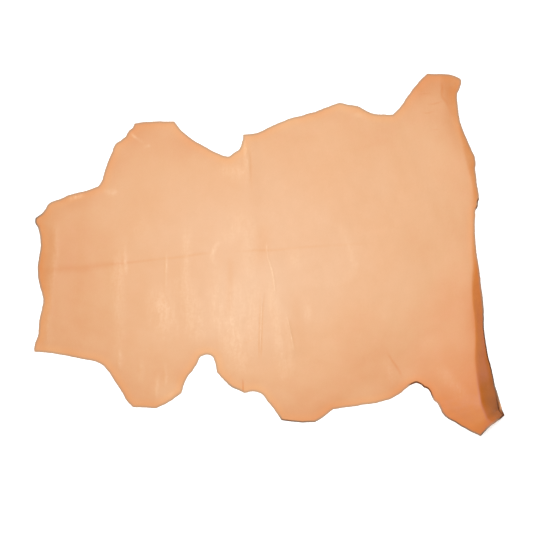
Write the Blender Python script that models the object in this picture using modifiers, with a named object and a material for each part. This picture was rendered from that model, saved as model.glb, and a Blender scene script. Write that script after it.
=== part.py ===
"""A whole tanned hide, trimmed to its natural outline and laid out on a flat surface, grain side up.

It is one sheet of leather. The neck is at -X, the butt at +X, the backbone runs along X and +Z is up.
The hide lies flat, apart from the long roll down its butt edge and a few smaller rolls and creases.

Run it with: blender --background --python part.py
"""

import math
from collections import namedtuple

import bmesh
import bpy
from mathutils import Matrix, Vector
from mathutils.geometry import intersect_point_line

MM = 0.001

# Driving dimensions, in metres.
LENGTH = 1.500          # neck cut to the lower corner of the butt
THICKNESS = 0.002       # the split hide's even thickness
CELL_ALONG = 0.020      # mesh cells along the backbone, over most of the hide
CELL_ACROSS = 0.034     # mesh cells across the backbone
BUTT_CELL_ALONG = 0.011  # finer cells along the backbone where the butt edge rolls down
BUTT_ZONE = 0.560       # where those finer cells start
OUTLINE_STEPS = 3       # straight edges between two points of the outline

GRAIN_COLOUR = (0.78, 0.47, 0.26, 1.0)
GRAIN_ROUGHNESS = 0.42

# The trimmed outline, clockwise from the tip of the neck, in millimetres on a hide of 1.5 m.
# A stretch starts at a sharp corner and runs as one smooth curve to the next stretch.
OUTLINE = {
    "neck, upper side": [(-748, 119), (-725, 134), (-704, 163), (-667, 179), (-581, 206)],
    "upper fore leg, front": [(-546, 219), (-536, 233), (-522, 278), (-504, 323)],
    "upper fore leg, toe": [(-489, 355), (-461, 376), (-446, 398)],
    "upper fore leg, end": [(-430, 420), (-362, 426)],
    "upper fore leg, back": [
        (-304, 426), (-285, 399), (-251, 368), (-181, 331), (-143, 314), (-126, 316), (-95, 338), (-88, 356),
    ],
    "upper flank": [
        (-83, 384), (-45, 388), (14, 417), (72, 439), (125, 451), (165, 464), (228, 485), (287, 472), (341, 450),
    ],
    "upper hind leg, front": [(395, 447), (420, 470), (476, 548)],
    "upper hind leg, end": [(503, 578), (543, 579), (577, 575), (611, 559), (608, 534), (598, 510)],
    "butt, upper edge": [(602, 464), (615, 406), (643, 336), (656, 306), (658, 269), (663, 227)],
    "butt, middle": [(669, 179), (663, 151), (656, 128), (655, 75), (657, 44), (664, -5)],
    "butt, lower edge": [
        (670, -50), (682, -140), (685, -182), (685, -242), (691, -283), (710, -371), (718, -417), (729, -454),
    ],
    "lower hind leg, end": [(749, -512), (733, -526), (710, -544)],
    "lower hind leg, front": [
        (675, -579), (618, -548), (570, -519), (554, -500), (538, -470), (521, -450), (505, -422), (470, -405),
        (438, -421), (417, -439), (384, -460), (353, -470), (289, -477),
    ],
    "belly flap, back": [(203, -488), (165, -519)],
    "belly flap, end": [(145, -536), (60, -532)],
    "belly flap, front": [(40, -525), (17, -488), (-24, -442), (-45, -436)],
    "lower flank": [(-81, -440), (-118, -422)],
    "lower fore leg, notch": [(-165, -374), (-173, -341), (-181, -322), (-196, -315), (-220, -321), (-234, -347)],
    "lower fore leg, back": [(-267, -392)],
    "lower fore leg, tip": [(-283, -438), (-324, -467)],
    "lower fore leg, end": [(-361, -489)],
    "lower fore leg, front": [
        (-436, -485), (-456, -464), (-467, -442), (-517, -363), (-530, -352), (-548, -343), (-661, -318),
    ],
    "neck cut": [(-750, -307), (-739, -251), (-721, -147), (-738, -66), (-739, -38), (-729, 30), (-738, 87)],
}

# A fold runs along its points, in the outline's millimetres. Height is how far the sheet stands off the
# surface there. To the left and right of the line, seen along it, the sheet comes down to the surface over
# the two reaches. A rolled side turns over at the line and drops straight, and a soft side eases into the flat.
FoldPoint = namedtuple("FoldPoint", "x y height left right")
Fold = namedtuple("Fold", "left_is_rolled points")
TURN = 0.2              # a rolled side's rounded turn, as a share of its reach

FOLDS = {
    "butt roll": Fold(True, [
        FoldPoint(650, 20, 0, 22, 90),
        FoldPoint(648, -50, 5, 22, 120),
        FoldPoint(648, -100, 11, 29, 140),
        FoldPoint(649, -150, 16, 34, 160),
        FoldPoint(656, -226, 19, 29, 180),
        FoldPoint(657, -291, 24, 36, 190),
        FoldPoint(664, -355, 32, 43, 200),
        FoldPoint(667, -400, 38, 49, 210),
        FoldPoint(675, -448, 45, 54, 220),
        FoldPoint(681, -495, 50, 63, 230),
        FoldPoint(708, -544, 50, 52, 230),
    ]),
    "rump roll": Fold(True, [
        FoldPoint(606, 430, 0, 10, 60),
        FoldPoint(614, 384, 4, 12, 70),
        FoldPoint(621, 350, 8, 20, 80),
        FoldPoint(623, 317, 12, 32, 90),
        FoldPoint(627, 277, 11, 32, 90),
        FoldPoint(640, 230, 6, 24, 80),
        FoldPoint(656, 180, 0, 12, 60),
    ]),
    "upper hind leg roll": Fold(True, [
        FoldPoint(552, 590, 13, 60, 60),
        FoldPoint(552, 509, 12, 50, 60),
        FoldPoint(574, 470, 8, 30, 55),
        FoldPoint(592, 430, 0, 20, 50),
    ]),
    "neck edge roll": Fold(False, [
        FoldPoint(-677, 150, 0, 60, 60),
        FoldPoint(-680, 40, 6, 60, 60),
        FoldPoint(-685, -30, 7, 60, 55),
        FoldPoint(-694, -140, 5, 60, 40),
        FoldPoint(-703, -260, 0, 60, 40),
    ]),
    "shoulder crease": Fold(False, [
        FoldPoint(-83, 384, 6, 34, 34),
        FoldPoint(-76, 250, 4, 34, 34),
        FoldPoint(-70, 60, 3, 34, 34),
        FoldPoint(-69, -80, 0, 34, 34),
    ]),
    "middle crease": Fold(False, [
        FoldPoint(-24, 110, 0, 34, 34),
        FoldPoint(-5, 6, 3, 34, 34),
        FoldPoint(17, -102, 4, 34, 34),
        FoldPoint(56, -198, 4, 34, 34),
        FoldPoint(78, -330, 0, 34, 34),
    ]),
    "fore crease": Fold(False, [
        FoldPoint(-266, 110, 0, 38, 38),
        FoldPoint(-256, -90, 4, 38, 38),
        FoldPoint(-246, -300, 0, 38, 38),
    ]),
    "neck crease": Fold(False, [
        FoldPoint(-460, 60, 0, 48, 48),
        FoldPoint(-474, -110, 4, 48, 48),
        FoldPoint(-490, -280, 0, 48, 48),
    ]),
}


def clear_scene():
    for obj in list(bpy.data.objects):
        bpy.data.objects.remove(obj, do_unlink=True)


def leather_material():
    """Natural vegetable-tanned leather, grain side."""
    material = bpy.data.materials.new("grain_leather")
    material.use_nodes = True
    shader = material.node_tree.nodes["Principled BSDF"]
    shader.inputs["Base Color"].default_value = GRAIN_COLOUR
    shader.inputs["Roughness"].default_value = GRAIN_ROUGHNESS
    shader.inputs["Metallic"].default_value = 0.0
    return material


def outline_mesh():
    """The flat face inside the outline, from a filled 2D curve."""
    curve = bpy.data.curves.new("hide_outline", "CURVE")
    curve.dimensions = "2D"
    curve.fill_mode = "BOTH"
    curve.resolution_u = OUTLINE_STEPS
    knots = [(x, y, i == 0) for stretch in OUTLINE.values() for i, (x, y) in enumerate(stretch)]
    spline = curve.splines.new("BEZIER")
    spline.bezier_points.add(len(knots) - 1)
    spline.use_cyclic_u = True
    for point, (x, y, is_corner) in zip(spline.bezier_points, knots):
        handle = "VECTOR" if is_corner else "AUTO"
        point.co = (x * MM, y * MM, 0.0)
        point.handle_left_type = handle
        point.handle_right_type = handle

    guide = bpy.data.objects.new("hide_outline", curve)
    bpy.context.scene.collection.objects.link(guide)
    graph = bpy.context.evaluated_depsgraph_get()
    mesh = bpy.data.meshes.new_from_object(guide.evaluated_get(graph))
    bpy.data.objects.remove(guide, do_unlink=True)
    return mesh


def cell_lines(low, high, step):
    """Even places for cuts between low and high, no further apart than step."""
    count = math.ceil((high - low) / step)
    return [low + (high - low) * i / count for i in range(1, count)]


def cut_into_cells(bm):
    """Cuts the flat face into cells, finer where the butt edge rolls down."""
    xs = [v.co.x for v in bm.verts]
    ys = [v.co.y for v in bm.verts]
    along = cell_lines(min(xs), BUTT_ZONE, CELL_ALONG) + [BUTT_ZONE]
    along += cell_lines(BUTT_ZONE, max(xs), BUTT_CELL_ALONG)
    across = cell_lines(min(ys), max(ys), CELL_ACROSS)
    planes = [(Vector((x, 0, 0)), Vector((1, 0, 0))) for x in along]
    planes += [(Vector((0, y, 0)), Vector((0, 1, 0))) for y in across]
    for place, normal in planes:
        everything = bm.verts[:] + bm.edges[:] + bm.faces[:]
        bmesh.ops.bisect_plane(bm, geom=everything, dist=1e-5, plane_co=place, plane_no=normal)


def soft_profile(share):
    """1 on the line of a fold, easing to 0 at its reach."""
    share = min(share, 1.0)
    return (1 - share) ** 2 * (1 + 2 * share)


def rolled_profile(share):
    """1 on the line of a fold, turning over there and dropping straight to 0 at its reach."""
    share = min(share, 1.0)
    return 1 - (math.hypot(share, TURN) - TURN) / (math.hypot(1, TURN) - TURN)


def fold_height(place, fold):
    """How far one fold lifts the sheet at a place, with both in millimetres."""
    nearest = None
    for a, b in zip(fold.points, fold.points[1:]):
        start = Vector((a.x, a.y))
        end = Vector((b.x, b.y))
        share = min(max(intersect_point_line(place, start, end)[1], 0.0), 1.0)
        distance = (place - start.lerp(end, share)).length
        if nearest is None or distance < nearest[0]:
            values = [p + (q - p) * share for p, q in zip(a[2:], b[2:])]
            on_left = (end - start).cross(place - start) > 0
            nearest = (distance, on_left, *values)
    distance, on_left, height, left, right = nearest
    if on_left and fold.left_is_rolled:
        return height * rolled_profile(distance / left)
    return height * soft_profile(distance / (left if on_left else right))


def lift_folds(bm):
    """Raises the flat sheet along each fold. The sheet's mesh is its underside, so nothing goes below 0."""
    for vert in bm.verts:
        place = Vector((vert.co.x, vert.co.y)) / MM
        vert.co.z = MM * sum(fold_height(place, fold) for fold in FOLDS.values())


def fit_to_size(hide):
    """Centres the thick sheet on the origin and scales its plan to the driving length."""
    bpy.context.view_layer.update()
    corners = [Vector(corner) for corner in hide.bound_box]
    low = min(corners, key=sum)
    high = max(corners, key=sum)
    middle = (low + high) / 2
    to_centre = Matrix.Translation((-middle.x, -middle.y, 0))
    scale = LENGTH / (high.x - low.x)
    hide.data.transform(Matrix.Diagonal((scale, scale, 1, 1)) @ to_centre)


def make_hide(collection):
    mesh = outline_mesh()
    mesh.name = "hide"
    bm = bmesh.new()
    bm.from_mesh(mesh)
    bmesh.ops.dissolve_faces(bm, faces=bm.faces[:])
    for face in bm.faces:
        if face.normal.z < 0:
            face.normal_flip()
    cut_into_cells(bm)
    lift_folds(bm)
    bm.to_mesh(mesh)
    bm.free()
    mesh.materials.clear()
    mesh.materials.append(leather_material())

    hide = bpy.data.objects.new("hide", mesh)
    collection.objects.link(hide)
    thickness = hide.modifiers.new("thickness", "SOLIDIFY")
    thickness.thickness = THICKNESS
    thickness.offset = 1.0
    fit_to_size(hide)


def main():
    clear_scene()
    collection = bpy.data.collections.new("Leather_Hide")
    bpy.context.scene.collection.children.link(collection)
    make_hide(collection)


main()
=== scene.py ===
import math
from collections import namedtuple

import bpy
import numpy as np
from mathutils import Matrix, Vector, kdtree
from mathutils.geometry import delaunay_2d_cdt


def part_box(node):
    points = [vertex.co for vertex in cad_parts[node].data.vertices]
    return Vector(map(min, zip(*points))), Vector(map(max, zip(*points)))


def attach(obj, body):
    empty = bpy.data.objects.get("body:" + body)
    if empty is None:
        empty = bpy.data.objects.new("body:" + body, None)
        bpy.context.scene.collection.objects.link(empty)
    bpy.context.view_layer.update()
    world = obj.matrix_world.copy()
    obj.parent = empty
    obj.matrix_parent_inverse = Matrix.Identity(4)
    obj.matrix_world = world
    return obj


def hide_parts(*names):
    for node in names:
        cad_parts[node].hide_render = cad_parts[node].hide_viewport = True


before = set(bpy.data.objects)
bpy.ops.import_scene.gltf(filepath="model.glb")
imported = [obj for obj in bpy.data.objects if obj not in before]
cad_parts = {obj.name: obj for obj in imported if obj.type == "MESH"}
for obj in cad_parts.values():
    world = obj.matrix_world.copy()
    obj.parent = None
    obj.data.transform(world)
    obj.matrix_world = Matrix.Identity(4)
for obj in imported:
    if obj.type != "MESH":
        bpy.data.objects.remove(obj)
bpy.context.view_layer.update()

# The studio is a white light table under a wide softbox, with a soft far lamp low off the neck end and white
# walls all round. The camera hangs straight above the hide and sees the whole of it. Its sizes are in metres.
CAMERA_HEIGHT = 6.5
CAMERA_FOOT = (0.0027, -0.0495)
VIEW_WIDTH = 1.7237
SENSOR_WIDTH = 36.0      # in millimetres
WHITE = (1.0, 1.0, 1.0, 1.0)
WALL_LIGHT = 0.30        # what the walls throw on the hide
WALL_SEEN = 0.843        # the walls as the camera sees them, as bright as the far end of the table
TABLE_SIZE = 14.0
TABLE_DROP = 0.0004      # keeps the table clear of the flesh side
TABLE_WHITE = (0.98, 0.98, 0.98, 1.0)
TABLE_ROUGHNESS = 0.9
TABLE_GLOW = 0.38

camera_data = bpy.data.cameras.new("camera")
camera_data.sensor_width = SENSOR_WIDTH
camera_data.lens = SENSOR_WIDTH * CAMERA_HEIGHT / VIEW_WIDTH
camera = bpy.data.objects.new("camera", camera_data)
camera.location = (*CAMERA_FOOT, CAMERA_HEIGHT)
bpy.context.scene.collection.objects.link(camera)
bpy.context.scene.camera = camera
bpy.context.scene.view_settings.view_transform = "Standard"

world = bpy.data.worlds.new("white_walls")
world.use_nodes = True
bpy.context.scene.world = world
nodes = world.node_tree.nodes
links = world.node_tree.links
walls = nodes["Background"]
walls.inputs["Color"].default_value = WHITE
walls.inputs["Strength"].default_value = WALL_LIGHT
seen_walls = nodes.new("ShaderNodeBackground")
seen_walls.inputs["Color"].default_value = WHITE
seen_walls.inputs["Strength"].default_value = WALL_SEEN
path = nodes.new("ShaderNodeLightPath")
choose = nodes.new("ShaderNodeMixShader")
links.new(path.outputs["Is Camera Ray"], choose.inputs["Fac"])
links.new(walls.outputs["Background"], choose.inputs[1])
links.new(seen_walls.outputs["Background"], choose.inputs[2])
links.new(choose.outputs["Shader"], nodes["World Output"].inputs["Surface"])


def add_lamp(name, kind, place, aim, strength):
    """A white lamp that the camera doesn't see, facing the point aim."""
    light = bpy.data.lights.new(name, kind)
    light.energy = strength
    lamp = bpy.data.objects.new(name, light)
    lamp.location = place
    lamp.rotation_euler = (Vector(aim) - Vector(place)).to_track_quat("-Z", "Y").to_euler()
    lamp.visible_camera = False
    bpy.context.scene.collection.objects.link(lamp)
    return light


softbox = add_lamp("softbox_overhead", "AREA", place=(0.0, 0.13, 3.0), aim=(0.0, 0.13, 0.0), strength=82.0)
softbox.size = 2.0
far_lamp = add_lamp("far_lamp_neck_end", "SUN", place=(-2.6, 1.0, 2.4), aim=(0.0, 0.0, 0.0), strength=0.75)
far_lamp.angle = math.radians(30)

half = TABLE_SIZE / 2
table_corners = [(x * half, y * half, -TABLE_DROP) for x, y in ((-1, -1), (1, -1), (1, 1), (-1, 1))]
table_mesh = bpy.data.meshes.new("table_top")
table_mesh.from_pydata(table_corners, [], [(0, 1, 2, 3)])
table = bpy.data.objects.new("table_top", table_mesh)
bpy.context.scene.collection.objects.link(table)
table_paint = bpy.data.materials.new("table_white")
table_paint.use_nodes = True
paint = table_paint.node_tree.nodes["Principled BSDF"].inputs
paint["Base Color"].default_value = TABLE_WHITE
paint["Roughness"].default_value = TABLE_ROUGHNESS
paint["Specular IOR Level"].default_value = 0.0
paint["Emission Color"].default_value = TABLE_WHITE
paint["Emission Strength"].default_value = TABLE_GLOW
table_mesh.materials.append(table_paint)


# The hide is one whole skin, tanned with bark to a natural tan and trimmed with a knife round its outline.
# It lies grain side up with the neck at -X and the butt at +X. The butt edge has taken a roll in storage,
# and soft folds run across the neck, the waist and the belly.
MM = 0.001               # the hide's own sizes are in millimetres
THICKNESS = 2.3
THICKEST = THICKNESS * 1.2   # the most that the skin's unevenness makes of it

# The outline goes clockwise from the tip of the neck, in millimetres on a hide 1.5 m long. A stretch starts
# at a sharp corner and runs as one smooth curve to the next stretch.
OUTLINE = {
    "neck, upper side": [
        (-746, 118), (-725, 134), (-714, 147), (-704, 163), (-667, 179), (-634, 193), (-581, 206),
    ],
    "upper fore leg, front": [(-546, 219), (-536, 233), (-522, 278), (-504, 323), (-489, 355)],
    "upper fore leg, toe": [(-475, 364), (-461, 376), (-446, 398), (-436, 406)],
    "upper fore leg, end": [(-430, 420), (-399, 424), (-362, 426)],
    "upper fore leg, back": [
        (-304, 426), (-284, 401), (-249, 371), (-217, 352), (-181, 332), (-142, 316), (-130, 315),
        (-112, 326), (-95, 338), (-88, 356),
    ],
    "upper flank": [
        (-83, 384), (-67, 385), (-45, 388), (-22, 397), (15, 415), (72, 437), (125, 451), (165, 464),
        (202, 479), (228, 485), (251, 480), (287, 472), (315, 457), (341, 450),
    ],
    "upper hind leg, front": [(394, 448), (417, 472), (445, 512), (474, 549)],
    "upper hind leg, end": [
        (503, 578), (543, 577), (577, 575), (596, 568), (611, 559), (612, 550), (608, 534), (598, 510),
        (599, 489), (602, 464), (607, 431), (615, 406), (628, 373), (643, 336), (653, 315), (656, 303),
        (656, 269), (661, 227),
    ],
    "butt": [
        (669, 179), (666, 170), (663, 151), (658, 144), (657, 128), (655, 101), (655, 75), (657, 44),
        (662, -5), (669, -50), (674, -92), (680, -140), (683, -182), (684, -242), (690, -283), (699, -332),
        (710, -371), (719, -417), (731, -453), (742, -491),
    ],
    "lower hind leg, end": [(749, -512), (731, -524), (704, -538), (689, -553)],
    "lower hind leg, front": [
        (670, -575), (641, -560), (617, -548), (594, -534), (568, -520), (550, -503), (543, -488),
        (535, -472),
    ],
    "lower hind leg, first notch": [(524, -463), (518, -452), (511, -435), (503, -425)],
    "lower hind leg, second notch": [
        (494, -423), (482, -413), (470, -408), (458, -411), (439, -423), (418, -441), (384, -460),
        (353, -469), (289, -480),
    ],
    "belly flap, back": [(204, -492), (166, -521)],
    "belly flap, end": [(145, -533.5), (96, -534), (60, -530)],
    "belly flap, front": [(38, -527), (14, -490), (-8, -463), (-24, -443), (-45, -436)],
    "lower flank": [(-81, -440), (-100, -430), (-119, -423), (-148, -396)],
    "lower fore leg, notch": [
        (-167, -375), (-174, -342), (-183, -324), (-196, -318), (-218, -324), (-231, -349), (-264, -394),
    ],
    "lower fore leg, back": [(-281, -441), (-322, -470)],
    "lower fore leg, end": [(-361, -489)],
    "lower fore leg, front": [
        (-436, -485), (-456, -464), (-467, -442), (-492, -405), (-518, -365), (-530, -352), (-548, -343),
        (-611, -329), (-661, -319), (-706, -312),
    ],
    "neck cut": [
        (-749, -309), (-750, -304), (-737, -251), (-734, -215), (-728, -183), (-721, -147), (-733, -96),
        (-738, -66), (-739, -38), (-734, -1), (-729, 30), (-731, 56), (-738, 87), (-747, 106),
    ],
}

# A fold runs along its points. At a point, height is how far the sheet stands off the table, and left and
# right are how far to each side of the line, seen along it, the sheet takes to come down again. On a rolled
# fold, turn is the rounded share of the left side, the next column is how much darker that side is painted,
# as painted shade where it turns down from the light, and over is how wide the change is. A soft fold
# leaves these three at 0.
FoldPoint = namedtuple("FoldPoint", "x y height left right turn deep over", defaults=(0, 0, 0))
FOLDS = {
    "butt roll": [
        FoldPoint(642, 150, 0, 20, 60, 0.20, 0.10, 14),
        FoldPoint(646, 80, 1, 18, 70, 0.20, 0.20, 14),
        FoldPoint(646, 16, 3, 20, 90, 0.18, 0.30, 16),
        FoldPoint(648, -34, 5, 24, 110, 0.15, 0.45, 18),
        FoldPoint(645, -82, 9, 31, 130, 0.12, 0.50, 20),
        FoldPoint(646, -146, 15, 37, 160, 0.12, 0.50, 18),
        FoldPoint(653, -208, 18, 33, 180, 0.12, 0.50, 34),
        FoldPoint(655, -272, 23, 36, 190, 0.17, 0.42, 16),
        FoldPoint(653, -336, 29, 49, 230, 0.19, 0.42, 13),
        FoldPoint(657, -383, 36, 55, 260, 0.20, 0.50, 13),
        FoldPoint(661, -415, 41, 57, 270, 0.21, 0.84, 13),
        FoldPoint(666, -446, 45, 59, 280, 0.21, 0.95, 14),
        FoldPoint(671, -478, 50, 61, 290, 0.22, 0.92, 14),
        FoldPoint(680, -500, 51, 58, 290, 0.22, 0.75, 15),
        FoldPoint(688, -519, 51, 53, 290, 0.22, 0.60, 15),
        FoldPoint(706, -534, 50, 50, 290, 0.22, 0.10, 18),
    ],
    "rump roll": [
        FoldPoint(600, 430, 0, 14, 90, 0.4, 0.0, 16),
        FoldPoint(608, 384, 3, 16, 130, 0.4, 0.15, 16),
        FoldPoint(615, 350, 5, 24, 150, 0.4, 0.25, 16),
        FoldPoint(621, 317, 7, 34, 160, 0.4, 0.28, 14),
        FoldPoint(633, 272, 7, 32, 160, 0.4, 0.28, 14),
        FoldPoint(645, 224, 5, 26, 140, 0.4, 0.22, 14),
        FoldPoint(648, 176, 3, 24, 110, 0.4, 0.18, 14),
        FoldPoint(645, 130, 0, 20, 90, 0.4, 0.10, 14),
    ],
    "upper hind leg roll": [
        FoldPoint(546, 590, 4, 60, 130, 0.4, 0.04, 20),
        FoldPoint(550, 509, 4, 48, 130, 0.4, 0.12, 14),
        FoldPoint(574, 462, 3, 32, 120, 0.4, 0.12, 16),
        FoldPoint(594, 410, 0, 20, 90, 0.4, 0.0, 20),
    ],
    "neck edge roll": [
        FoldPoint(-677, 150, 0, 60, 60),
        FoldPoint(-680, 40, 5, 75, 60),
        FoldPoint(-685, -30, 6, 75, 55),
        FoldPoint(-694, -140, 4, 75, 40),
        FoldPoint(-703, -260, 0, 60, 40),
    ],
    "shoulder crease": [
        FoldPoint(-83, 384, 4.5, 60, 70),
        FoldPoint(-76, 250, 3, 60, 70),
        FoldPoint(-70, 60, 2, 60, 60),
        FoldPoint(-69, -80, 0, 60, 60),
    ],
    "middle crease": [
        FoldPoint(-24, 110, 0, 60, 60),
        FoldPoint(-5, 6, 1.8, 60, 60),
        FoldPoint(17, -102, 2.4, 60, 60),
        FoldPoint(56, -198, 2.4, 60, 60),
        FoldPoint(78, -330, 0, 60, 60),
    ],
    "fore crease": [
        FoldPoint(-266, 110, 0, 60, 60),
        FoldPoint(-256, -90, 2.4, 60, 60),
        FoldPoint(-246, -300, 0, 60, 60),
    ],
    "neck crease": [
        FoldPoint(-460, 60, 0, 70, 70),
        FoldPoint(-474, -110, 2.6, 70, 70),
        FoldPoint(-490, -280, 0, 70, 70),
    ],
}
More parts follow.
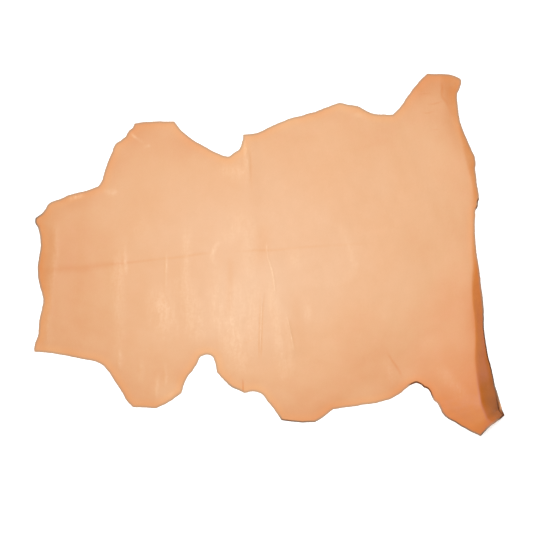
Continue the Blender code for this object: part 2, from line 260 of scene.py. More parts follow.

# A mark follows its points too, each with its x, its y and the mark's strength there. Tint above 0 makes
# the grain paler and waxier, partly wax and partly a painted sheen highlight where a fold catches the light;
# below 0 it makes a deeper tan, which on the creases, wrinkles and the butt roll is painted shade. Relief is
# how far the sheet rises (above 0) or the grain sinks (below 0) on its line. Both fade out over half_width to
# each side.
Mark = namedtuple("Mark", "tint relief half_width points")
MARKS = {
    "backbone, neck": Mark(-0.19, -0.08, 21, [
        (-722, -50, 0), (-695, -47, 0.8), (-640, -44, 1), (-578, -40, 1), (-532, -32, 1), (-480, -27, 0.5),
        (-430, -22, 0),
    ]),
    "backbone": Mark(-0.28, -0.10, 7, [
        (-690, -47, 0.1), (-532, -32, 0.25), (-447, -24, 0.9), (-350, -13, 0.7), (-287, -7, 1), (-222, 3, 1),
        (-190, 6, 0.3), (-100, 11, 0.3), (-52, 14, 0.9), (23, 16, 0.9), (75, 22, 0.5), (129, 26, 0.8),
        (190, 30, 0.4), (247, 33, 0.5), (321, 39, 0.1),
    ]),
    "waist shade": Mark(-0.28, 0, 42, [
        (-22, 105, 0), (-22, 60, 0.8), (-24, 20, 1), (-28, -10, 0.7), (-32, -42, 0.35), (-34, -70, 0),
    ]),
    "waist crease": Mark(1.3, 0.7, 4, [
        (-10, 48, 0), (-8, 16, 0.8), (-5, -8, 1), (1.5, -28, 1), (8, -49, 1), (12, -70, 1), (15.5, -92, 1),
        (17, -113, 0.8), (16, -150, 0),
    ]),
    "belly crease": Mark(0.9, 0.7, 4, [
        (50, -180, 0), (59, -207, 0.7), (66, -240, 0.9), (72, -268, 1), (76, -290, 0.8), (80, -320, 0),
    ]),
    "belly crease shade": Mark(-0.11, 0, 7, [
        (58, -190, 0), (66, -207, 0.8), (74, -240, 1), (80, -275, 0.8), (84, -310, 0),
    ]),
    "belly shade, left": Mark(-0.24, 0, 18, [
        (-128, 0, 0), (-125, -30, 0.9), (-126, -110, 1), (-131, -170, 0.8), (-136, -210, 0),
    ]),
    "belly shade, right": Mark(-0.20, 0, 30, [
        (80, -120, 0), (84, -150, 0.8), (86, -200, 1), (98, -260, 0.5), (104, -290, 0),
    ]),
    # The wrinkles' dark lines are painted shade in their grooves, and their gleams are painted highlights.
    "belly wrinkle, left": Mark(-0.44, -0.42, 4, [
        (-28, -112, 0), (-30, -150, 0.5), (-31, -200, 0.9), (-32, -245, 1), (-33, -290, 1), (-33, -318, 0.7),
        (-33, -336, 0),
    ]),
    "belly wrinkle, right": Mark(-0.44, -0.46, 4, [
        (-14, -110, 0), (-17, -140, 0.5), (-21, -182, 0.9), (-23, -225, 1), (-24, -275, 1), (-26, -310, 0.8),
        (-27, -336, 0),
    ]),
    "belly wrinkle, outer gleam": Mark(0.7, 0.3, 4, [
        (-35, -106, 0), (-37, -150, 0.9), (-38, -205, 0.7), (-39, -255, 0),
    ]),
    "belly wrinkle, gleam": Mark(0.8, 0.4, 4, [
        (-22, -112, 0), (-24, -155, 0.8), (-26, -205, 1), (-28, -265, 0.9), (-30, -312, 0),
    ]),
    "belly curl": Mark(-0.22, -0.15, 5, [(-84, -290, 0), (-78, -282, 0.8), (-62, -274, 1), (-44, -268, 0)]),
    "belly curl, gleam": Mark(0.5, 0.2, 6, [(-62, -312, 0), (-54, -322, 0.9), (-46, -330, 0)]),
    "butt shade": Mark(-0.30, 0, 60, [
        (650, -50, 0), (650, -146, 1), (652, -230, 0.9), (654, -300, 0.5), (656, -350, 0),
    ]),
    # The butt band, the corner shade and the corner line are painted shade on the roll's steep outer side,
    # darkest at the corner and along its edge.
    "butt band, outer": Mark(-0.80, 0, 27, [
        (684, -170, 0), (686, -230, 0.15), (692, -280, 0.5), (703, -336, 1), (712, -375, 1.1),
        (719, -410, 0.9), (727, -446, 0.2), (734, -470, 0.5), (740, -490, 0.8), (742, -505, 0.5),
    ]),
    "corner shade": Mark(-1.15, 0, 44, [
        (706, -440, 0), (716, -470, 0.6), (728, -500, 1), (724, -516, 1.1), (710, -530, 0.5),
    ]),
    "corner line": Mark(-2.0, -0.4, 2.7, [
        (713, -412, 0.2), (717, -427, 0.5), (722, -455, 0.7), (725, -471, 0.9), (728, -489, 1),
        (734, -502, 1), (741, -509, 1), (738, -517, 0.8),
    ]),
    "corner sliver": Mark(1.8, 0, 6, [
        (729, -452, 0), (734, -470, 0.9), (737, -485, 0.9), (741, -496, 0.3), (744, -502, 0),
    ]),
    "neck edge gleam": Mark(0.36, 0.9, 18, [
        (-680, 130, 0), (-679, 70, 0.9), (-686, -37, 1), (-694, -90, 0.9), (-700, -176, 0.9),
        (-708, -270, 0.8), (-712, -315, 0),
    ]),
    "neck streak": Mark(0.75, 0.6, 12, [
        (-460, 66, 0), (-461, 40, 0.4), (-461, 0, 0.75), (-460, -25, 1), (-459, -50, 0.8), (-459, -68, 0),
    ]),
    "neck patch": Mark(0.7, 1.2, 34, [
        (-466, 30, 0), (-482, -40, 0.9), (-486, -90, 0.8), (-480, -160, 0.6), (-480, -240, 0.4),
        (-489, -357, 0),
    ]),
    "neck cloud": Mark(0.35, 0.6, 60, [(-450, 100, 0), (-409, 85, 0.8), (-360, 80, 0)]),
    "fore streak, first": Mark(1.0, 0.9, 6, [
        (-330, 14, 0), (-329, -12, 0.8), (-329, -45, 1), (-330, -90, 0.55), (-331, -150, 0.35),
        (-332, -185, 0),
    ]),
    "fore patch, first": Mark(0.8, 1.2, 72, [
        (-352, -90, 0), (-346, -150, 0.8), (-334, -200, 1), (-325, -245, 0.5), (-318, -290, 0),
    ]),
    "fore streak, second": Mark(0.68, 0.9, 25, [
        (-260, 95, 0), (-262, 55, 0.9), (-266, -20, 0.8), (-268, -115, 0.6), (-262, -165, 0),
    ]),
    "fore patch, second": Mark(0.75, 1.2, 62, [
        (-274, -50, 0), (-272, -100, 0.6), (-256, -150, 0.9), (-238, -220, 0.9), (-228, -300, 0),
    ]),
    "shoulder hook": Mark(1.0, 0.5, 12, [
        (-150, 50, 0), (-168, 34, 0.6), (-178, 14, 0.9), (-182, -6, 1), (-175, -26, 0.7), (-162, -40, 0),
    ]),
    "shoulder cloud": Mark(0.4, 0.8, 44, [(-168, 24, 0), (-146, 52, 0.8), (-118, 64, 0.9), (-80, 60, 0)]),
    "shoulder patch": Mark(0.8, 1.2, 38, [
        (-178, -35, 0), (-170, -90, 0.6), (-168, -150, 0.9), (-168, -210, 0.9), (-160, -275, 0),
    ]),
    "waist cluster": Mark(0.55, 0.8, 50, [(-140, 80, 0), (-118, 70, 0.9), (-100, 110, 0.8), (-85, 160, 0)]),
    "waist streak": Mark(0.5, 1.0, 40, [
        (-76, 150, 0), (-66, 110, 0.6), (-64, 50, 0.8), (-66, -10, 0.8), (-70, -90, 0.7), (-76, -150, 0),
    ]),
    "belly sheen, left": Mark(0.85, 1.5, 70, [
        (-85, -60, 0), (-105, -150, 0.8), (-118, -240, 1), (-104, -320, 0.7), (-78, -400, 0),
    ]),
    "belly sheen, middle": Mark(0.7, 0, 52, [
        (-50, -50, 0), (-54, -140, 0.9), (-60, -230, 0.9), (-62, -340, 0),
    ]),
    "belly sheen, crease": Mark(0.55, 0, 26, [(-8, -60, 0), (2, -120, 0.9), (14, -190, 0.9), (30, -280, 0)]),
    "belly sheen, right": Mark(0.7, 1.0, 30, [
        (14, -95, 0), (19, -150, 0.8), (22, -200, 1), (28, -260, 0.75), (40, -340, 0.7), (50, -435, 0),
    ]),
    "belly sheen, last": Mark(0.5, 0.8, 18, [(46, -165, 0), (60, -250, 0.8), (68, -330, 0.8), (72, -435, 0)]),
    "notch streak": Mark(0.75, 1.2, 14, [
        (-81, 380, 0.3), (-78, 345, 0.9), (-73, 300, 1), (-71, 260, 0.7), (-70, 215, 0),
    ]),
    "notch line": Mark(-0.16, -0.15, 5, [(-62, 345, 0), (-59, 310, 0.9), (-58, 265, 0.8), (-57, 205, 0)]),
    "notch patch": Mark(0.6, 0.8, 42, [
        (-168, 262, 0), (-140, 268, 0.7), (-108, 262, 0.9), (-85, 266, 0.8), (-68, 290, 0),
    ]),
    "notch shade": Mark(-0.10, 0, 14, [(-66, 345, 0), (-60, 290, 1), (-57, 220, 0.8), (-52, 165, 0)]),
    "loin arc": Mark(0.40, 0.3, 24, [
        (224, 100, 0), (240, 70, 0.9), (250, 37, 0.7), (264, 0, 0.8), (270, -40, 0.8), (258, -66, 0.5),
        (230, -84, 0.4), (150, -92, 0.3), (90, -91, 0),
    ]),
    "loin spot": Mark(0.6, 0.4, 26, [(80, 30, 0), (82, -14, 1), (84, -60, 0)]),
    "flank spot": Mark(0.55, 0.4, 18, [(118, -125, 0), (122, -165, 0.7), (124, -190, 1), (122, -225, 0)]),
    "rump wave, upper": Mark(0.12, 0.3, 14, [(260, 330, 0), (330, 350, 0.8), (400, 372, 0)]),
    "rump wave, lower": Mark(0.12, 0.3, 12, [(330, 70, 0), (385, 78, 0.8), (450, 70, 0)]),
    "rump shade": Mark(-0.08, 0, 12, [(250, 330, 0), (320, 348, 1), (400, 375, 0)]),
    # The hind crease is darkened with painted shade, and the gleam beside it is a painted highlight.
    "hind crease": Mark(-0.32, -0.30, 6, [
        (374, -306, 0), (388, -331, 0.8), (403, -352, 1), (416, -373, 0.8), (424, -394, 0),
    ]),
    "hind gleam": Mark(0.45, 0.5, 22, [(368, -325, 0), (382, -362, 0.7), (392, -392, 0.8), (388, -425, 0)]),
    "lower hind leg gleam": Mark(0.3, 0.8, 34, [
        (520, -340, 0), (560, -385, 0.8), (600, -430, 0.7), (640, -480, 0),
    ]),
    # The upper hind fold and its wrinkles are darkened with painted shade in their hollows.
    "upper hind fold": Mark(-0.26, -0.20, 8, [
        (548, 556, 0), (551, 538, 0.8), (551, 505, 1), (562, 490, 0.7), (574, 460, 0.4), (580, 430, 0),
    ]),
    "upper hind wrinkle, first": Mark(-0.24, -0.30, 4, [(500, 482, 0), (531, 483, 1), (550, 491, 0.4)]),
    "upper hind wrinkle, second": Mark(-0.20, -0.25, 4, [(486, 454, 0), (506, 453, 1), (530, 460, 0)]),
    "upper hind wrinkle, third": Mark(-0.10, -0.2, 3.5, [(472, 512, 0), (492, 515, 0.9), (520, 519, 0)]),
    "upper hind wrinkle, last": Mark(-0.16, -0.2, 4, [(512, 402, 0), (530, 400, 0.9), (548, 404, 0)]),
    "flank nick": Mark(-0.7, -0.3, 4, [(-86, -392, 0), (-84, -410, 0.7), (-84, -432, 1)]),
    "lower leg streak, front": Mark(0.6, 1.0, 12, [
        (-480, -290, 0), (-478, -318, 0.8), (-477, -348, 0.9), (-476, -374, 0),
    ]),
    "lower leg streak, middle": Mark(0.5, 0.8, 13, [
        (-412, -325, 0), (-409, -352, 0.7), (-406, -371, 1), (-410, -398, 0.4), (-412, -425, 0),
    ]),
    "lower leg streak, back": Mark(0.7, 1.0, 9, [
        (-334, -345, 0), (-331, -368, 0.9), (-330, -398, 0.8), (-336, -425, 0),
    ]),
    "lower leg streak, heel": Mark(0.5, 0.6, 11, [
        (-350, -372, 0), (-356, -395, 0.8), (-360, -440, 0.8), (-362, -470, 0),
    ]),
    "heel gleam": Mark(0.6, 0.3, 9, [(-324, -457, 0), (-314, -446, 1), (-302, -436, 0)]),
    "neck tick": Mark(0.8, 0.5, 15, [(-535, 204, 0), (-515, 202, 0.8), (-498, 200, 1), (-486, 208, 0)]),
    "neck rim gleam": Mark(1.2, 0.4, 11, [(-650, 174, 0), (-617, 185, 1), (-585, 192, 0)]),
    "upper leg streak": Mark(0.8, 0.4, 8, [
        (-446, 391, 0), (-436, 383, 0.9), (-418, 370, 0.8), (-398, 356, 0),
    ]),
    "upper leg tick": Mark(0.9, 0.4, 7, [(-404, 343, 0), (-390, 347, 1), (-376, 350, 0)]),
    "flank rim gleam": Mark(0.5, 0.3, 14, [(258, 445, 0), (284, 448, 1), (315, 440, 0)]),
}

# Broad tone of the grain's colour, each patch fading out over its two radii: above 0 is paler, below 0 a
# deeper tan. Some are the tan's own unevenness; the large pale patch over the middle is a painted pool of
# light and sheen, and the deep patches over the butt and the lower hind leg are painted shade.
TonePatch = namedtuple("TonePatch", "x y radius_x radius_y amount")
BASE_TONE = -0.07
TONES = [
    # A painted pool of light and sheen over the middle of the hide.
    TonePatch(-40, -40, 660, 540, 0.56),
    TonePatch(-90, -180, 230, 230, 0.28),
    # Painted shade over the lower hind leg and the butt, where the sheet turns down.
    TonePatch(360, -460, 480, 360, -0.42),
    TonePatch(640, -330, 250, 240, -0.35),
    TonePatch(640, -500, 280, 260, -0.70),
    TonePatch(480, 270, 260, 240, 0.14),
    TonePatch(-400, -60, 240, 200, -0.10),
    TonePatch(-720, -50, 260, 420, -0.20),
    TonePatch(570, 540, 210, 230, -0.30),
    TonePatch(-380, 420, 300, 260, -0.20),
    TonePatch(-400, -420, 190, 190, -0.18),
    TonePatch(-752, 0, 50, 340, -0.25),
    TonePatch(590, -150, 130, 190, -0.28),
    TonePatch(258, -195, 120, 120, -0.20),
    TonePatch(500, 545, 90, 80, -0.16),
    TonePatch(572, -405, 120, 110, 0.24),
    TonePatch(674, -560, 40, 36, -0.28),
    TonePatch(320, -470, 150, 90, 0.45),
    TonePatch(450, -386, 76, 60, 0.24),
    TonePatch(-40, -450, 130, 64, 0.22),
    TonePatch(-318, -440, 76, 66, 0.36),
    TonePatch(352, 446, 110, 64, 0.26),
    TonePatch(238, 480, 100, 50, 0.20),
    TonePatch(60, 428, 180, 66, 0.26),
    TonePatch(-90, 345, 110, 90, 0.28),
    TonePatch(-310, 410, 120, 66, 0.30),
    TonePatch(-492, 350, 60, 60, 0.20),
    TonePatch(-700, -318, 80, 44, 0.30),
    TonePatch(604, 478, 36, 60, 0.22),
    TonePatch(-600, 20, 150, 210, -0.12),
    TonePatch(-588, -215, 130, 120, -0.14),
    TonePatch(584, 285, 110, 130, -0.14),
    TonePatch(676, -70, 36, 90, -0.28),
    TonePatch(638, 345, 36, 90, 0.16),
    TonePatch(594, 562, 40, 36, 0.12),
    TonePatch(568, 532, 26, 36, -0.20),
    TonePatch(-371, -12, 60, 50, -0.10),
    TonePatch(-728, -170, 40, 70, 0.14),
]

# A darker line is painted on the rim, as painted shade of the cut edge and of the rim where it lifts off the
# table, strongest along the lower edges and the butt. Its strength is RIM_LINE all round, with these amounts
# added.
RimDark = namedtuple("RimDark", "x y radius amount")
RIM_LINE = 0.48
RIM_DARKS = [
    RimDark(466, -407, 32, 1.5),
    RimDark(497, -418, 26, 1.3),
    RimDark(513, -440, 26, 0.8),
    RimDark(740, -480, 26, -0.9),
    RimDark(744, -513, 30, 1.5),
    RimDark(600, -535, 130, 0.65),
    RimDark(100, -534, 100, 0.6),
    RimDark(52, -528, 36, 0.4),
    RimDark(684, -566, 34, 0.45),
    RimDark(695, -310, 250, 0.85),
    RimDark(666, 172, 14, 0.9),
    RimDark(662, 153, 12, 0.9),
    RimDark(-745, 115, 50, 0.4),
    RimDark(-735, 10, 260, 0.18),
    RimDark(-120, -430, 60, 0.3),
]

# Smooth random unevenness of the cut, of how the sheet lies and of the skin's thickness, in millimetres.
KNIFE_SWAY = {"rise": 0.45, "length": 38, "seed": 11}
KNIFE_SHAKE = {"rise": 0.3, "length": 14, "seed": 12}
LOOSE_LIE = {"rise": 0.9, "length": 210, "seed": 13}
SMALL_LIE = {"rise": 0.12, "length": 70, "seed": 14}
SKIN_DEPTH = {"rise": 0.12, "length": 45, "seed": 15}
MEAN_LIFT = 0.9          # how far the sheet stands off the table between the folds
RIM_THINNING = 0.5       # how much thinner the sheet is on the rim
RIM_THINNED = 5          # how far in from the rim it gets thinner

RIM_STEP = 4.4           # the mesh's spacing along the rim
FINE_STEP = 3.8          # inside the rim and along narrow marks
ROW_SHARE = 0.866        # how far apart the fine points' rows are, as a share of their spacing
COARSE_SHARE = 2         # elsewhere, one fine point in this many is kept, both ways
RIM_BAND = 13            # how far in from the rim the fine mesh reaches
MARK_BAND = 9            # how far off a narrow mark's rows it reaches
NARROW = 15              # a mark under this half width gets rows of its own
MARK_ROWS = (-1, -0.5, 0, 0.5, 1)              # shares of its half width
ROLL_ROWS = (-0.95, -0.5, -0.2, 0, 0.2, 0.5)   # the same for a roll's ridge, over ROLL_BAND
ROLL_BAND = 12
ROW_CELL = 1.6           # of the rows' points in one square of this size, one is kept
CLEAR = 0.62             # a lattice point nearer than this share of the fine step is left out
WELD = 1e-4              # points nearer than this are one
FOLD_STEP = 12           # the spacing of points on a fold's line
MARK_STEP = 8            # and on a mark's line
SHARP_EDGE = 55          # in degrees, and only the cut's corners are sharper


def smooth_curve(points, step):
    """Points at even steps along the smooth curve through the given ones, whose first columns are x and y."""
    points = np.array(points, float)
    gaps = np.linalg.norm(np.diff(points[:, :2], axis=0), axis=1)
    at = np.concatenate([[0], np.cumsum(gaps)])
    tangents = np.gradient(points, at, axis=0)
    where = np.linspace(0, at[-1], max(1, round(at[-1] / step)) + 1)
    i = np.clip(np.searchsorted(at, where, side="right") - 1, 0, len(gaps) - 1)
    u = ((where - at[i]) / gaps[i])[:, None]
    gap = gaps[i][:, None]
    start = (1 + 2 * u) * (1 - u) ** 2 * points[i] + u * (1 - u) ** 2 * gap * tangents[i]
    return start + u * u * (3 - 2 * u) * points[i + 1] - u * u * (1 - u) * gap * tangents[i + 1]


def waves(places, rise, length, seed, count=14, shortest=0.7, longest=1.6):
    """A smooth random surface of waves in all directions, about a length long and mostly within the rise."""
    rng = np.random.default_rng(seed)
    angle = rng.uniform(0, math.tau, count)
    pace = math.tau / (length * rng.uniform(shortest, longest, count))
    turn = rng.uniform(0, math.tau, count)
    across = places[:, :1] * np.cos(angle) + places[:, 1:2] * np.sin(angle)
    return rise * (np.cos(across * pace + turn).sum(1) / math.sqrt(count))


def turned_left(along):
    """Each direction turned square to the left, one unit long."""
    return np.stack([-along[:, 1], along[:, 0]], axis=1) / np.linalg.norm(along, axis=1)[:, None]


def near_line(places, line):
    """Each place's distance to the line, whether it is on its left, and the line's other columns there."""
    start = line[:-1, :2]
    run = np.diff(line[:, :2], axis=0)
    off = places[:, None] - start
    share = np.clip((off * run).sum(2) / (run ** 2).sum(1), 0, 1)
    off -= share[..., None] * run
    apart = (off ** 2).sum(2)
    k = apart.argmin(1)
    every = np.arange(len(places))
    left = run[k, 0] * off[every, k, 1] > run[k, 1] * off[every, k, 0]
    values = line[k, 2:] + share[every, k][:, None] * (line[k + 1, 2:] - line[k, 2:])
    return np.sqrt(apart[every, k]), left, values.T


def within(places, line, reach):
    """The numbers of the places that are in the line's box, grown by reach on all sides."""
    low = line[:, :2].min(0) - reach
    high = line[:, :2].max(0) + reach
    return np.flatnonzero(((places > low) & (places < high)).all(1))


def ease(share):
    """1 at 0, easing to 0 at 1 and past it."""
    share = np.clip(share, 0, 1)
    return (1 - share) ** 2 * (1 + 2 * share)


def settle(share):
    """1 at 0, sloping down to rest flat at 1 and past it."""
    share = np.clip(share, 0, 1)
    return (1 - share) ** 2 * (1 + share)


def rolled(share, turn):
    """1 at 0, rounded over and then falling straight to 0 at 1 and past it."""
    return 1 - (np.hypot(np.minimum(share, 1), turn) - turn) / (np.hypot(1, turn) - turn)


def trimmed_rim():
    """The closed outline, with the small waver of a knife cut by hand."""
    stretches = list(OUTLINE.values())
    following = stretches[1:] + stretches[:1]
    runs = []
    for points, after in zip(stretches, following):
        runs.append(smooth_curve(points + after[:1], RIM_STEP)[:-1])
    rim = np.vstack(runs)
    outward = turned_left(np.roll(rim, -1, axis=0) - np.roll(rim, 1, axis=0))
    corners = np.cumsum([0] + [len(run) for run in runs[:-1]])
    waver = waves(rim, **KNIFE_SWAY) + waves(rim, **KNIFE_SHAKE)
    waver[corners] = 0
    return rim + outward * waver[:, None]


def tree_of(places):
    tree = kdtree.KDTree(len(places))
    for i, (x, y) in enumerate(places):
        tree.insert((x, y, 0), i)
    tree.balance()
    return tree


def distances(tree, places):
    return np.array([tree.find((x, y, 0))[2] for x, y in places])


def inside(places, loop):
    """Whether each place is inside the closed loop, from the times that the loop passes to its right."""
    order = np.argsort(places[:, 1])
    x, y = places[order].T
    odd = np.zeros(len(places), bool)
    for (ax, ay), (bx, by) in zip(loop, np.roll(loop, -1, axis=0)):
        if ay != by:
            first, last = np.searchsorted(y, sorted((ay, by)))
            odd[first:last] ^= x[first:last] < ax + (y[first:last] - ay) * (bx - ax) / (by - ay)
    found = np.empty(len(places), bool)
    found[order] = odd
    return found


def mark_rows(rim, rim_tree):
    """Rows of points on and beside each narrow mark and each roll's ridge."""
    lines = []
    for mark in MARKS.values():
        if mark.half_width < NARROW:
            lines.append((mark.points, mark.half_width, MARK_ROWS))
    for points in FOLDS.values():
        if points[0].turn > 0:
            lines.append((points, ROLL_BAND, ROLL_ROWS))
    rows = []
    for points, half_width, shares in lines:
        line = smooth_curve(points, FINE_STEP)[:, :2]
        across = turned_left(np.gradient(line, axis=0))
        for share in shares:
            rows.append(line + across * half_width * share)
    rows = np.vstack(rows)
    rows = rows[inside(rows, rim) & (distances(rim_tree, rows) > FINE_STEP * CLEAR)]
    kept = {}
    for x, y in rows:
        kept.setdefault((round(x / ROW_CELL), round(y / ROW_CELL)), (x, y))
    return np.array(list(kept.values()))


def flat_mesh():
    """The places and triangles of the flat hide, finer at the rim and along the narrow marks."""
    rim = trimmed_rim()
    rim_tree = tree_of(rim)
    rows = mark_rows(rim, rim_tree)
    row_tree = tree_of(rows)
    low = rim.min(0)
    high = rim.max(0)
    lattice = []
    for j in range(int((high[1] - low[1]) / (FINE_STEP * ROW_SHARE)) + 1):
        for i in range(int((high[0] - low[0]) / FINE_STEP) + 1):
            x = low[0] + (i + 0.5 * (j % 2)) * FINE_STEP
            lattice.append((x, low[1] + j * ROW_SHARE * FINE_STEP, i, j))
    lattice = np.array(lattice)
    lattice = lattice[inside(lattice[:, :2], rim)]
    off_rim = distances(rim_tree, lattice[:, :2])
    off_rows = distances(row_tree, lattice[:, :2])
    fine = (off_rim < RIM_BAND) | (off_rows < MARK_BAND)
    coarse = (lattice[:, 2] % COARSE_SHARE == 0) & (lattice[:, 3] % COARSE_SHARE == 0)
    clear = (off_rim > FINE_STEP * CLEAR) & (off_rows > FINE_STEP * CLEAR)
    places = np.vstack([rim, rows, lattice[(fine | coarse) & clear, :2]])
    loop = [(i, (i + 1) % len(rim)) for i in range(len(rim))]
    inside_only, keep_ids = 1, False
    made = delaunay_2d_cdt([tuple(place) for place in places], loop, [], inside_only, WELD, keep_ids)
    places = np.array([tuple(place) for place in made[0]])
    triangles = np.array(made[2])
    triangles = triangles[inside(places[triangles].mean(axis=1), rim)]
    used = np.unique(triangles)
    places = places[used]
    triangles = np.searchsorted(used, triangles)
    first, second, third = (places[triangles[:, k]] for k in range(3))
    downward = np.cross(second - first, third - first) < 0
    triangles[downward] = triangles[downward][:, ::-1]
    return places, triangles


def rim_distances(places, triangles):
    """How far each place is from the mesh's open rim."""
    ends = np.concatenate([triangles[:, [0, 1]], triangles[:, [1, 2]], triangles[:, [2, 0]]])
    found, times = np.unique(np.sort(ends, axis=1), axis=0, return_counts=True)
    rim = np.unique(found[times == 1])
    return distances(tree_of(places[rim]), places)


places, triangles = flat_mesh()
off_rim = rim_distances(places, triangles)
height = np.zeros(len(places))
tone = np.full(len(places), BASE_TONE)
for points in FOLDS.values():
    line = smooth_curve(points, FOLD_STEP)
    some = within(places, line, reach=line[:, 3:5].max())
    apart, left, (top, to_left, to_right, turn, roll_shade, over) = near_line(places[some], line)
    top = np.maximum(top, 0)
    share = np.where(left, apart / to_left, apart / to_right)
    if points[0].turn > 0:
        height[some] += top * np.where(left, rolled(share, turn), settle(share))
        # Painted shade darkens the side that turns down, and past the roll's end it fades out over half
        # the roll's reach.
        past = np.where(left, apart, -apart) / over + 0.5
        tone[some] -= roll_shade * (1 - ease(past)) * ease(2 * (share - 1))
    else:
        height[some] += top * ease(share)

# Marks above 0 paint the grain paler, as wax and as a painted sheen highlight on the folds. Marks below 0
# deepen the tan, in places as painted shade in creases, wrinkles and on the butt roll.
sheen_and_wax = np.zeros(len(places))
groove = np.zeros(len(places))
for mark in MARKS.values():
    line = smooth_curve(mark.points, MARK_STEP)
    some = within(places, line, reach=mark.half_width)
    apart, left, (strength,) = near_line(places[some], line)
    share = np.maximum(strength, 0) * ease(apart / mark.half_width)
    if mark.tint > 0:
        sheen_and_wax[some] = np.maximum(sheen_and_wax[some], mark.tint * share)
    else:
        tone[some] += mark.tint * share
    if mark.relief > 0:
        height[some] += mark.relief * share
    else:
        groove[some] -= mark.relief * share

for patch in TONES:
    apart = np.hypot((places[:, 0] - patch.x) / patch.radius_x, (places[:, 1] - patch.y) / patch.radius_y)
    tone += patch.amount * ease(apart)
rim_dark = np.full(len(places), RIM_LINE)
for dark in RIM_DARKS:
    apart = np.hypot(places[:, 0] - dark.x, places[:, 1] - dark.y)
    rim_dark += dark.amount * ease(apart / dark.radius)

height += np.maximum(MEAN_LIFT + waves(places, **LOOSE_LIE) + waves(places, **SMALL_LIE), 0)
thickness = THICKNESS + waves(places, **SKIN_DEPTH) - groove - RIM_THINNING * ease(off_rim / RIM_THINNED)

low, high = (np.array(corner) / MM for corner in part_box("hide"))
middle = (places.min(0) + places.max(0)) / 2
scale = (high[0] - low[0]) / np.ptp(places[:, 0])
placed = (places - middle) * scale + ((low + high) / 2)[:2]

mesh = bpy.data.meshes.new("leather_hide")
mesh.from_pydata(np.column_stack([placed, height]) * MM, [], triangles.tolist())
mesh.shade_smooth()
for name, values in (("rim", off_rim), ("rim_dark", rim_dark), ("sheen_and_wax", sheen_and_wax), ("tone", tone)):
    mesh.attributes.new(name, "FLOAT", "POINT").data.foreach_set("value", values.astype(np.float32))

hide = bpy.data.objects.new("leather_hide", mesh)
bpy.context.scene.collection.objects.link(hide)
group = hide.vertex_groups.new(name="thickness")
for i, weight in enumerate(np.clip(thickness / THICKEST, 0, 1)):
    group.add([i], weight, "REPLACE")


class Finish:
    """One side's material, with its shader fed by values or by other nodes' outputs."""

    def __init__(self, name):
        self.material = bpy.data.materials.new(name)
        self.material.use_nodes = True
        self.tree = self.material.node_tree
        self.shader = self.tree.nodes["Principled BSDF"]

    def add(self, kind, inputs=(), **settings):
        node = self.tree.nodes.new("ShaderNode" + kind)
        for key, value in settings.items():
            setattr(node, key, value)
        self.feed(node, inputs)
        return node

    def feed(self, node, inputs):
        for socket, value in dict(inputs).items():
            if isinstance(value, bpy.types.NodeSocket):
                self.tree.links.new(value, node.inputs[socket])
            else:
                node.inputs[socket].default_value = value

    def attribute(self, name):
        return self.add("Attribute", attribute_name=name).outputs["Fac"]

    def place(self):
        return self.add("TexCoord").outputs["Object"]

    def stretched(self, place, scale):
        return self.add("Mapping", {"Vector": place, "Scale": scale}).outputs["Vector"]

    def noise(self, place, scale, detail, roughness=0.5, distortion=0.0):
        node = self.add("TexNoise", {"Vector": place, "Scale": scale, "Detail": detail})
        self.feed(node, {"Roughness": roughness, "Distortion": distortion})
        return node.outputs["Fac"]

    def cells(self, place, scale):
        return self.add("TexVoronoi", {"Vector": place, "Scale": scale}).outputs["Distance"]

    def math(self, operation, a, b):
        return self.add("Math", {0: a, 1: b}, operation=operation).outputs[0]

    def slope(self, value, span, onto=(0.0, 1.0), course="LINEAR"):
        """The value's span laid onto another, straight or as a smooth step, and level past both ends."""
        node = self.add("MapRange", {"Value": value, "From Min": span[0], "From Max": span[1]})
        self.feed(node, {"To Min": onto[0], "To Max": onto[1]})
        node.interpolation_type = course
        return node.outputs["Result"]

    def ramp(self, value, span, onto=(0.0, 1.0)):
        return self.slope(value, span, onto, "SMOOTHSTEP")

    def blend(self, share, a, b, blend_type="MIX"):
        """Colour b laid over colour a by its share. These are a colour Mix node's own socket numbers."""
        return self.add("Mix", {0: share, 6: a, 7: b}, data_type="RGBA", blend_type=blend_type).outputs[2]

    def bump(self, height, depth, normal=None):
        node = self.add("Bump", {"Height": height, "Distance": depth, "Strength": 1.0})
        if normal is not None:
            self.feed(node, {"Normal": normal})
        return node.outputs["Normal"]


# Grain side: smooth natural tan with fine pores, paler and waxier where folds have rubbed and with a painted
# sheen highlight there, deeper towards the rim, with painted shade on the butt roll and in the creases, and
# a dark line of painted shade on the rim itself.
# The pale waxed colour, laid on both for wax and as a painted sheen highlight.
WAX_AND_SHEEN = (0.820, 0.520, 0.302, 1.0)
PALE_TAN = (0.705, 0.435, 0.262, 1.0)
TAN = (0.660, 0.340, 0.158, 1.0)
DEEP_TAN = (0.575, 0.182, 0.036, 1.0)
SHADE_RUSSET = (0.505, 0.150, 0.052, 1.0)
SHADE_BROWN = (0.455, 0.121, 0.010, 1.0)
RIM_BROWN = (0.140, 0.038, 0.005, 1.0)
# The grey of the rim's fainter line of painted shade.
RIM_SHADE_GREY = (0.275, 0.252, 0.195, 1.0)
RIM_WARMTH = (1.050, 1.015, 0.935, 1.0)
WARM_BORDER = (12.0, 34.0)      # in from the rim, the warmth fades out between these
# The colour goes from TAN to each shade between two tones. The russet and the brown are painted shade on
# the butt roll's steep side.
SHADES = (((0.0, 1.0), PALE_TAN), ((0.0, -1.0), DEEP_TAN), ((-1.0, -1.5), SHADE_RUSSET), ((-1.5, -2.0), SHADE_BROWN))
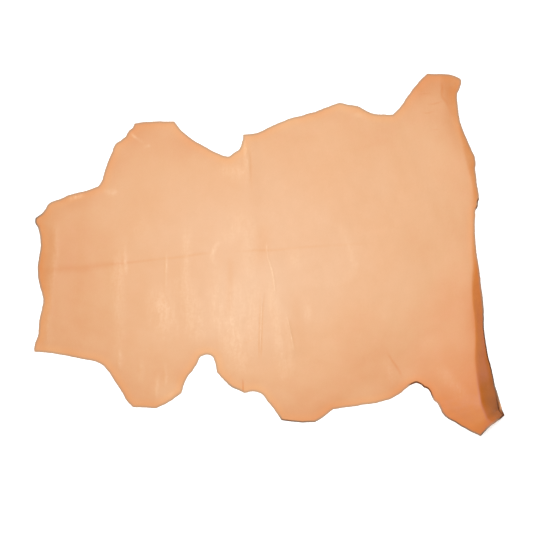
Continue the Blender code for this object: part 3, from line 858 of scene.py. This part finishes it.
# Past these tones the darkest painted shade, at the butt's corner, turns to the rim's brown.
DARK_LINE = (-2.0, -4.0)        # the tones between which it turns to the rim's brown
BORDERS = (((0.0, 70.0), 0.22), ((3.0, 20.0), 0.10))   # millimetres in from the rim, and how much deeper
MIDDLE_NOISE = (0.3, 0.7)       # nearly all of a noise's values lie between these
CLOUD_TONE = 0.09
PATCH_TONE = 0.06
# A fold's paleness is wax and a painted sheen highlight.
WAX_AND_SHEEN_COVER = 0.5                 # how far a rubbed fold takes the waxed colour
WAX_SHINE = 0.07                # and how much smoother it is
PORE_TAN = 0.10                 # how far a pore and a fleck take the deep tan
FLECK_TAN = 0.08
# These shape the rim's line of painted shade, where the cut edge and the lifted rim fall into shade.
RIM_SHADE_STRONG = (0.6, 1.3)       # the knife line turns from fibre to brown between these strengths
RIM_SHADE_REACH = (8.5, 4.5)        # how far in from the rim it reaches at each
RIM_SHADE_SHIFT = 1.5               # how much wider its full part is, for a strength of 1
RIM_SHADE_DULL = 0.4                # how much rougher it is than the grain

grain = Finish("grain_leather")
place = grain.place()
clouds = grain.noise(place, scale=6.5, detail=3.0)
patches = grain.noise(place, scale=34.0, detail=4.0, roughness=0.6)
clumps = grain.noise(place, scale=120.0, detail=3.0, roughness=0.55)
flecks = grain.noise(place, scale=240.0, detail=3.0, roughness=0.6)
along_marks = grain.stretched(place, (1.0, 0.25, 1.0))
streaky = grain.noise(along_marks, scale=90.0, detail=5.0, roughness=0.68, distortion=0.6)
pores = grain.cells(place, scale=950.0)
fine_skin = grain.noise(place, scale=1500.0, detail=2.0, roughness=0.6)

rim = grain.attribute("rim")
# The tone carries painted light and shade as well as the tan's own unevenness.
tone_with_light_and_shade = grain.attribute("tone")
for cloud, amount in ((clouds, CLOUD_TONE), (patches, PATCH_TONE)):
    tone_with_light_and_shade = grain.math("ADD", tone_with_light_and_shade, grain.ramp(cloud, MIDDLE_NOISE, (-amount, amount)))
for span, deeper in BORDERS:
    tone_with_light_and_shade = grain.math("SUBTRACT", tone_with_light_and_shade, grain.ramp(rim, span, (deeper, 0.0)))
colour = TAN
for span, shade in SHADES:
    colour = grain.blend(grain.slope(tone_with_light_and_shade, span), colour, shade)
dark_line = grain.slope(tone_with_light_and_shade, DARK_LINE)
colour = grain.blend(dark_line, colour, RIM_BROWN)

# The wax's paleness and its painted sheen highlight come in streaks and clumps, so that no fold is
# evenly pale.
streaks = grain.ramp(streaky, (0.36, 0.64), (0.35, 1.0))
mottle = grain.math("MULTIPLY", streaks, grain.ramp(clumps, (0.36, 0.62), (0.55, 1.15)))
mottled_sheen_and_wax = grain.math("MULTIPLY", grain.attribute("sheen_and_wax"), mottle)
colour = grain.blend(grain.math("MULTIPLY", mottled_sheen_and_wax, WAX_AND_SHEEN_COVER), colour, WAX_AND_SHEEN)
colour = grain.blend(grain.ramp(pores, (0.0, 0.35), (PORE_TAN, 0.0)), colour, DEEP_TAN)
colour = grain.blend(grain.ramp(flecks, (0.55, 0.8), (0.0, FLECK_TAN)), colour, DEEP_TAN)
colour = grain.blend(grain.ramp(rim, WARM_BORDER, (1.0, 0.0)), colour, RIM_WARMTH, "MULTIPLY")

# The dark line along the rim is painted shade of the cut edge and of the rim where it lifts off the table.
rim_shade_strength = grain.attribute("rim_dark")
off_rim_shade = grain.math("SUBTRACT", rim, grain.math("MULTIPLY", rim_shade_strength, RIM_SHADE_SHIFT))
rim_shade_reach = grain.ramp(rim_shade_strength, RIM_SHADE_STRONG, RIM_SHADE_REACH)
rim_shade_line = grain.math("MULTIPLY", grain.ramp(off_rim_shade, (0.5, rim_shade_reach), (1.0, 0.0)), rim_shade_strength)
line_colour = grain.blend(grain.slope(rim_shade_strength, RIM_SHADE_STRONG), RIM_SHADE_GREY, RIM_BROWN)
colour = grain.blend(rim_shade_line, colour, line_colour)

skin = grain.bump(fine_skin, depth=0.00004)
skin = grain.bump(pores, depth=0.00010, normal=skin)
skin = grain.bump(streaky, depth=0.00025, normal=skin)
skin = grain.bump(patches, depth=0.00030, normal=skin)
dull = grain.ramp(patches, MIDDLE_NOISE, (0.43, 0.52))
dull = grain.math("ADD", dull, grain.math("MULTIPLY", mottled_sheen_and_wax, -WAX_SHINE))
dull_dark_lines = grain.math("MULTIPLY", grain.math("MAXIMUM", rim_shade_line, dark_line), RIM_SHADE_DULL)
grain.feed(grain.shader, {
    "Base Color": colour,
    "Roughness": grain.math("ADD", dull, dull_dark_lines),
    "Normal": skin,
    "Specular IOR Level": 0.31,
    "Coat Weight": 0.08,
    "Coat Roughness": 0.32,
})

# Flesh side: the same skin from below, split and shaved to a short pale nap.
FLESH = (0.600, 0.400, 0.245, 1.0)
FLESH_DARK = (0.450, 0.265, 0.140, 1.0)
flesh = Finish("flesh_side")
place = flesh.place()
along_nap = flesh.stretched(place, (1.0, 0.35, 1.0))
nap = flesh.noise(along_nap, scale=700.0, detail=5.0, roughness=0.7, distortion=0.8)
shaved = flesh.noise(place, scale=30.0, detail=5.0, roughness=0.6)
colour = flesh.blend(flesh.ramp(shaved, (0.35, 0.7)), FLESH, FLESH_DARK)
colour = flesh.blend(flesh.ramp(nap, MIDDLE_NOISE, (0.0, 0.5)), colour, FLESH_DARK)
flesh.feed(flesh.shader, {
    "Base Color": colour,
    "Roughness": 0.92,
    "Normal": flesh.bump(nap, depth=0.0005, normal=flesh.bump(shaved, depth=0.0008)),
    "Sheen Weight": 0.25,
    "Sheen Roughness": 0.5,
})

# Cut edge: the fibres of the sheet's thickness, burnished darker by handling.
EDGE = (0.330, 0.155, 0.062, 1.0)
EDGE_DARK = (0.130, 0.055, 0.022, 1.0)
edge = Finish("cut_edge")
through = edge.stretched(edge.place(), (1.0, 1.0, 6.0))
fibres = edge.noise(through, scale=420.0, detail=4.0, roughness=0.65)
edge.feed(edge.shader, {
    "Base Color": edge.blend(edge.ramp(fibres, (0.35, 0.65)), EDGE, EDGE_DARK),
    "Roughness": 0.75,
    "Normal": edge.bump(fibres, depth=0.0004),
})

for finish in (grain, flesh, edge):
    mesh.materials.append(finish.material)

# The mesh so far lies where the flesh side does. The thickness goes up from it, with the grain side on top.
sheet = hide.modifiers.new("thickness", "SOLIDIFY")
sheet.thickness = THICKEST * MM
sheet.offset = 1.0
sheet.vertex_group = "thickness"
sheet.material_offset = 1
sheet.material_offset_rim = 2
graph = bpy.context.evaluated_depsgraph_get()
solid = bpy.data.meshes.new_from_object(hide.evaluated_get(graph))
hide.modifiers.clear()
hide.vertex_groups.clear()
hide.data = solid
solid.set_sharp_from_angle(angle=math.radians(SHARP_EDGE))

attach(hide, "root")
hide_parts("hide")
